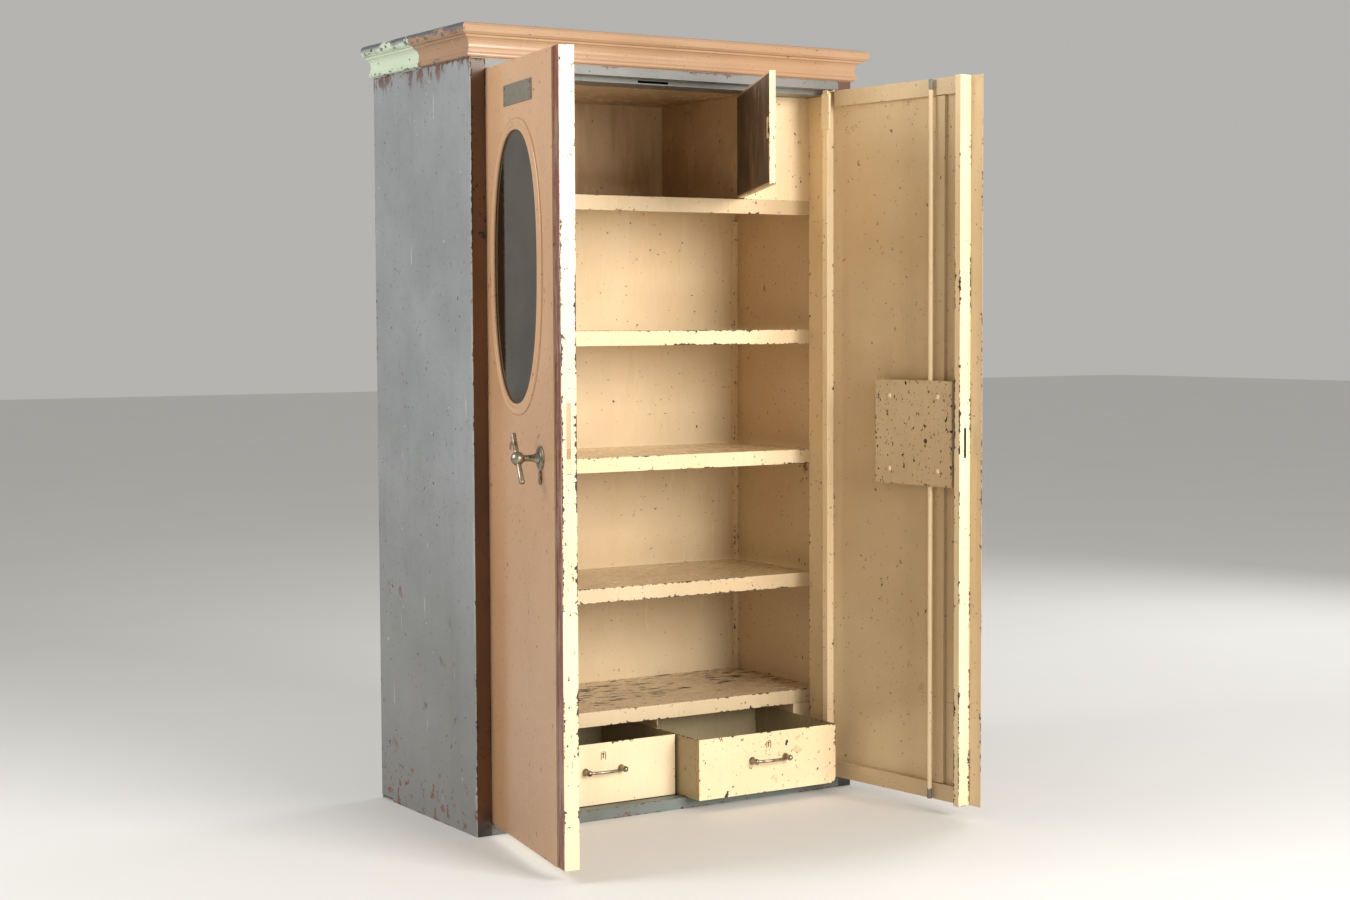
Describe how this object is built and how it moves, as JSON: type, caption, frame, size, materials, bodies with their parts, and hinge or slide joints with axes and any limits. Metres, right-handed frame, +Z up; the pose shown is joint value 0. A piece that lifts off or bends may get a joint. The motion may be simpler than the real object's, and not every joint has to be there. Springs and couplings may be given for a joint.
{
  "type": "steel storage cupboard",
  "caption": "Painted sheet-steel two-door cupboard with an oval mirror, a top locker, shelves and two drawers.",
  "frame": {"origin": "middle of the bottom panel's underside, on the floor", "axes": "+X to the right seen from the front, +Y to the back, +Z up"},
  "size_m": [1.2365, 1.0262, 1.88],
  "materials": {
    "grey_enamel": "semi-gloss enamel, chipped to primer and steel",
    "threshold_enamel": "worn dark grey-green enamel",
    "tan_enamel": "gloss tan enamel, edge chips",
    "brown_enamel": "brown enamel, worn edges",
    "cream_enamel": "gloss cream enamel, chips and scratches",
    "worn_dark_paint": "dark brown paint with vertical scratches",
    "aged_nickel": "tarnished nickel plate",
    "bare_steel": "bare drawn steel",
    "mirror_silvering": "old silvered glass with dark spots"
  },
  "bodies": {
    "carcass": {"back_panel": "cream_enamel", "bottom_panel": "cream_enamel", "cornice_front": "tan_enamel", "cornice_left": "tan_enamel", "cornice_right": "tan_enamel", "drawer_deck": "cream_enamel", "drawer_divider": "cream_enamel", "drawer_filler_left": "cream_enamel", "drawer_filler_right": "cream_enamel", "front_post_left": "brown_enamel", "front_post_right": "brown_enamel", "header_rail": "grey_enamel", "locker_ceiling": "cream_enamel", "locker_floor": "cream_enamel", "locker_front_left": "cream_enamel", "locker_front_right": "cream_enamel", "locker_wall_left": "cream_enamel", "locker_wall_right": "cream_enamel", "shelf_lower": "cream_enamel", "shelf_middle": "cream_enamel", "shelf_standard_front_left": "cream_enamel", "shelf_standard_front_right": "cream_enamel", "shelf_standard_rear_left": "cream_enamel", "shelf_standard_rear_right": "cream_enamel", "shelf_upper": "cream_enamel", "side_panel_left": "grey_enamel", "side_panel_right": "grey_enamel", "threshold_rail": "threshold_enamel", "top_panel": "grey_enamel"},
    "left_door": {"left_door_bottom_rail": "cream_enamel", "left_door_hinge_stile": "cream_enamel", "left_door_lock_stile": "cream_enamel", "left_door_skin": "tan_enamel", "left_door_top_rail": "cream_enamel", "left_handle_rosette": "aged_nickel", "mirror_backing": "cream_enamel", "mirror_frame": "tan_enamel", "mirror_glass": "mirror_silvering", "nameplate": "aged_nickel"},
    "right_door": {"lock_cover": "cream_enamel", "right_door_bottom_rail": "cream_enamel", "right_door_channel": "cream_enamel", "right_door_hinge_stile": "cream_enamel", "right_door_lock_stile": "cream_enamel", "right_door_skin": "tan_enamel", "right_door_top_rail": "cream_enamel", "right_handle_rosette": "aged_nickel"},
    "left_handle": {"left_t_handle": "aged_nickel"},
    "left_cover": {"left_key_cover": "aged_nickel"},
    "right_handle": {"right_t_handle": "aged_nickel"},
    "upper_lock_rod": {"upper_rod": "cream_enamel"},
    "lower_lock_rod": {"lower_rod": "cream_enamel"},
    "latch": {"latch_bolt": "bare_steel"},
    "locker_leaf": {"locker_door": "cream_enamel", "locker_door_liner": "worn_dark_paint", "locker_lock_plate": "cream_enamel"},
    "left_drawer": {"drawer_left": "cream_enamel", "drawer_handle_left": "aged_nickel"},
    "right_drawer": {"drawer_right": "cream_enamel", "drawer_handle_right": "aged_nickel"}
  },
  "joints": [
    {"name": "left_door_hinge", "type": "hinge", "parent": "carcass", "child": "left_door", "pos_m": [-0.49, -0.257, 0.9], "axis": [0, 0, -1], "range_deg": [-100, 5]},
    {"name": "right_door_hinge", "type": "hinge", "parent": "carcass", "child": "right_door", "pos_m": [0.49, -0.257, 0.9], "axis": [0, 0, 1], "range_deg": [-97, 8]},
    {"name": "locker_door_hinge", "type": "hinge", "parent": "carcass", "child": "locker_leaf", "pos_m": [0.292, -0.131, 1.636], "axis": [0, 0, 1], "range_deg": [-63.5, 5.3]},
    {"name": "left_drawer_slide", "type": "slide", "parent": "carcass", "child": "left_drawer", "axis": [0, -1, 0], "range_m": [-0.086, 0.18]},
    {"name": "right_drawer_slide", "type": "slide", "parent": "carcass", "child": "right_drawer", "axis": [0, -1, 0], "range_m": [-0.188, 0.016]},
    {"name": "left_handle_turn", "type": "hinge", "parent": "left_door", "child": "left_handle", "pos_m": [-0.56305, -0.631, 0.905], "axis": [-0.9848, 0.1736, 0], "range_deg": [-60, 30]},
    {"name": "left_key_cover_swing", "type": "hinge", "parent": "left_door", "child": "left_cover", "pos_m": [-0.56305, -0.631, 0.871], "axis": [-0.9848, 0.1736, 0], "range_deg": [-90, 90]},
    {"name": "right_handle_turn", "type": "hinge", "parent": "right_door", "child": "right_handle", "pos_m": [0.53997, -0.60652, 0.905], "axis": [0.9925, 0.1219, 0], "range_deg": [0, 90]},
    {"name": "upper_rod_slide", "type": "slide", "parent": "right_door", "child": "upper_lock_rod", "axis": [0, 0, 1], "range_m": [0, 0.018]},
    {"name": "lower_rod_slide", "type": "slide", "parent": "right_door", "child": "lower_lock_rod", "axis": [0, 0, -1], "range_m": [0, 0.018]},
    {"name": "latch_bolt_slide", "type": "slide", "parent": "right_door", "child": "latch", "axis": [0.1219, -0.9925, 0], "range_m": [0, 0.014]}
  ],
  "couplings": [
    {"joint": "locker_door_hinge", "follows": "right_door_hinge", "ratio": 0.65464},
    {"joint": "right_drawer_slide", "follows": "right_door_hinge", "m_per_rad": 0.11099},
    {"joint": "upper_rod_slide", "follows": "right_handle_turn", "m_per_rad": 0.011453},
    {"joint": "lower_rod_slide", "follows": "right_handle_turn", "m_per_rad": 0.011453},
    {"joint": "latch_bolt_slide", "follows": "right_handle_turn", "m_per_rad": 0.008906}
  ]
}
